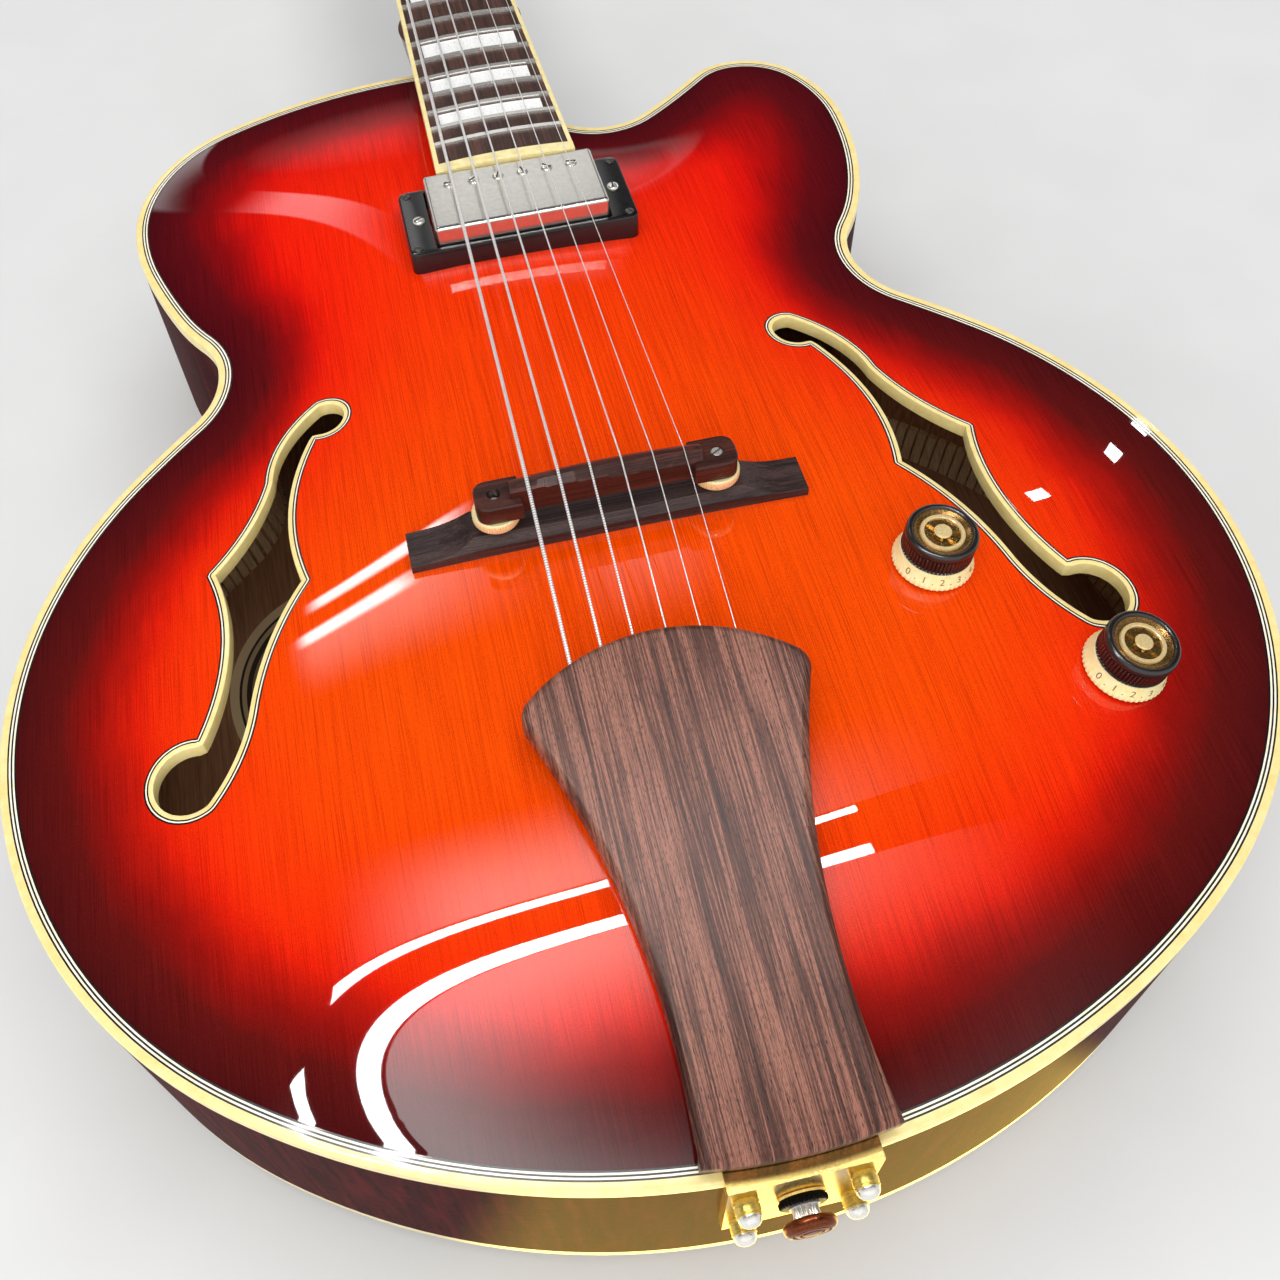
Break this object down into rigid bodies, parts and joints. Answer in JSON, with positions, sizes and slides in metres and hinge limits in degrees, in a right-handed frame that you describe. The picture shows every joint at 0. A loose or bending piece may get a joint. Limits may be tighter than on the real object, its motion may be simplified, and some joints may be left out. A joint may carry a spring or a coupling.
{
  "type": "archtop guitar",
  "caption": "Hollow-body archtop electric guitar with a rounded cutaway, f-holes, floating bridge, wooden tailpiece, neck pickup, turning knobs and geared tuners.",
  "frame": {"origin": "under the middle of the guitar lying on its back, at the height of the lowest point of the arched back", "axes": "+Y from the tail to the headstock, +Z out of the top, +X to the treble side"},
  "size_m": [0.418, 1.0317, 0.1411],
  "materials": {
    "sunburst_spruce": "gloss lacquer",
    "wine_maple": "gloss lacquer",
    "cream_binding": "gloss",
    "pale_lining_wood": "raw",
    "label_paper": "matt",
    "neck_wood": "gloss lacquer",
    "steel": "plain",
    "rosewood": "satin",
    "pearl": "pearl",
    "nickel": "satin nickel",
    "bone": "satin",
    "black_veneer": "gloss lacquer",
    "black_plastic": "gloss",
    "gold_plate": "gold plate",
    "black_metal": "black",
    "brown_plastic": "gloss",
    "cream_plastic": "gloss",
    "string_steel": "wound and plain"
  },
  "bodies": {
    "guitar": {"back_plate": "wine_maple", "body_binding": "cream_binding", "bracket_screws": "nickel", "bridge_base": "rosewood", "bridge_posts": "gold_plate", "end_blocks": "pale_lining_wood", "end_pin": "gold_plate", "end_pin_nut": "black_metal", "f_hole_bindings": "cream_binding", "fingerboard": "rosewood", "fingerboard_binding": "cream_binding", "frets": "nickel", "headstock_screws": "nickel", "headstock_veneer": "black_veneer", "label": "label_paper", "linings": "pale_lining_wood", "neck": "neck_wood", "nut": "bone", "output_jack": "gold_plate", "pickup_baseplate": "steel", "pickup_bobbins": "black_plastic", "pickup_cover": "nickel", "pickup_pole_screws": "nickel", "pickup_ring": "black_plastic", "pickup_screws": "nickel", "position_inlays": "pearl", "pots": "steel", "ribs": "wine_maple", "strings": "string_steel", "tailpiece": "rosewood", "tailpiece_bracket": "gold_plate", "tone_bars": "pale_lining_wood", "top_plate": "sunburst_spruce", "truss_rod": "steel", "truss_rod_cover": "black_plastic", "tuner_bushings": "gold_plate", "tuner_housings": "gold_plate"},
    "volume_control": {"volume_knob": "brown_plastic", "volume_dial": "cream_plastic", "volume_insert": "gold_plate", "volume_shaft": "steel"},
    "tone_control": {"tone_knob": "brown_plastic", "tone_dial": "cream_plastic", "tone_insert": "gold_plate", "tone_shaft": "steel"},
    "key_1": {"tuner_button_1": "gold_plate"},
    "post_1": {"tuner_post_1": "gold_plate"},
    "key_2": {"tuner_button_2": "gold_plate"},
    "post_2": {"tuner_post_2": "gold_plate"},
    "key_3": {"tuner_button_3": "gold_plate"},
    "post_3": {"tuner_post_3": "gold_plate"},
    "key_4": {"tuner_button_4": "gold_plate"},
    "post_4": {"tuner_post_4": "gold_plate"},
    "key_5": {"tuner_button_5": "gold_plate"},
    "post_5": {"tuner_post_5": "gold_plate"},
    "key_6": {"tuner_button_6": "gold_plate"},
    "post_6": {"tuner_post_6": "gold_plate"},
    "saddle": {"bridge_saddle": "rosewood"},
    "thumbwheel_bass": {"thumbwheel_bass": "gold_plate"},
    "thumbwheel_treble": {"thumbwheel_treble": "gold_plate"}
  },
  "joints": [
    {"name": "volume_turn", "type": "hinge", "parent": "guitar", "child": "volume_control", "pos_m": [0.0987, -0.33234, 0.11071], "axis": [0.0755, -0.0097, 0.9971], "range_deg": [-150, 150]},
    {"name": "tone_turn", "type": "hinge", "parent": "guitar", "child": "tone_control", "pos_m": [0.144, -0.38154, 0.10344], "axis": [0.1346, -0.0775, 0.9879], "range_deg": [-150, 150]},
    {"name": "key_1_turn", "type": "hinge", "parent": "guitar", "child": "key_1", "pos_m": [-0.0218, 0.38806, 0.0618], "axis": [-1, 0, 0], "continuous": true},
    {"name": "post_1_turn", "type": "hinge", "parent": "guitar", "child": "post_1", "pos_m": [-0.026, 0.38141, 0.06228], "axis": [0, 0.2947, 0.9556], "continuous": true},
    {"name": "key_2_turn", "type": "hinge", "parent": "guitar", "child": "key_2", "pos_m": [-0.023, 0.42628, 0.05001], "axis": [-1, 0, 0], "continuous": true},
    {"name": "post_2_turn", "type": "hinge", "parent": "guitar", "child": "post_2", "pos_m": [-0.0272, 0.41963, 0.05049], "axis": [0, 0.2947, 0.9556], "continuous": true},
    {"name": "key_3_turn", "type": "hinge", "parent": "guitar", "child": "key_3", "pos_m": [-0.0242, 0.46451, 0.03822], "axis": [-1, 0, 0], "continuous": true},
    {"name": "post_3_turn", "type": "hinge", "parent": "guitar", "child": "post_3", "pos_m": [-0.0284, 0.45785, 0.0387], "axis": [0, 0.2947, 0.9556], "continuous": true},
    {"name": "key_4_turn", "type": "hinge", "parent": "guitar", "child": "key_4", "pos_m": [0.0242, 0.46451, 0.03822], "axis": [1, 0, 0], "continuous": true},
    {"name": "post_4_turn", "type": "hinge", "parent": "guitar", "child": "post_4", "pos_m": [0.0284, 0.45785, 0.0387], "axis": [0, 0.2947, 0.9556], "continuous": true},
    {"name": "key_5_turn", "type": "hinge", "parent": "guitar", "child": "key_5", "pos_m": [0.023, 0.42628, 0.05001], "axis": [1, 0, 0], "continuous": true},
    {"name": "post_5_turn", "type": "hinge", "parent": "guitar", "child": "post_5", "pos_m": [0.0272, 0.41963, 0.05049], "axis": [0, 0.2947, 0.9556], "continuous": true},
    {"name": "key_6_turn", "type": "hinge", "parent": "guitar", "child": "key_6", "pos_m": [0.0218, 0.38806, 0.0618], "axis": [1, 0, 0], "continuous": true},
    {"name": "post_6_turn", "type": "hinge", "parent": "guitar", "child": "post_6", "pos_m": [0.026, 0.38141, 0.06228], "axis": [0, 0.2947, 0.9556], "continuous": true},
    {"name": "saddle_height", "type": "slide", "parent": "guitar", "child": "saddle", "axis": [0, 0, 1], "range_m": [-0.002, 0]},
    {"name": "thumbwheel_bass_turn", "type": "hinge", "parent": "saddle", "child": "thumbwheel_bass", "pos_m": [-0.0372, -0.28914, 0.12383], "axis": [0, 0, 1], "range_deg": [-10, 730]},
    {"name": "thumbwheel_treble_turn", "type": "hinge", "parent": "saddle", "child": "thumbwheel_treble", "pos_m": [0.0372, -0.28914, 0.12383], "axis": [0, 0, 1], "range_deg": [-10, 730]}
  ],
  "couplings": [
    {"joint": "post_1_turn", "follows": "key_1_turn", "ratio": -0.066667},
    {"joint": "post_2_turn", "follows": "key_2_turn", "ratio": -0.066667},
    {"joint": "post_3_turn", "follows": "key_3_turn", "ratio": -0.066667},
    {"joint": "post_4_turn", "follows": "key_4_turn", "ratio": 0.066667},
    {"joint": "post_5_turn", "follows": "key_5_turn", "ratio": 0.066667},
    {"joint": "post_6_turn", "follows": "key_6_turn", "ratio": 0.066667},
    {"joint": "thumbwheel_bass_turn", "follows": "saddle_height", "rad_per_m": -6283.2},
    {"joint": "thumbwheel_treble_turn", "follows": "saddle_height", "rad_per_m": -6283.2}
  ]
}
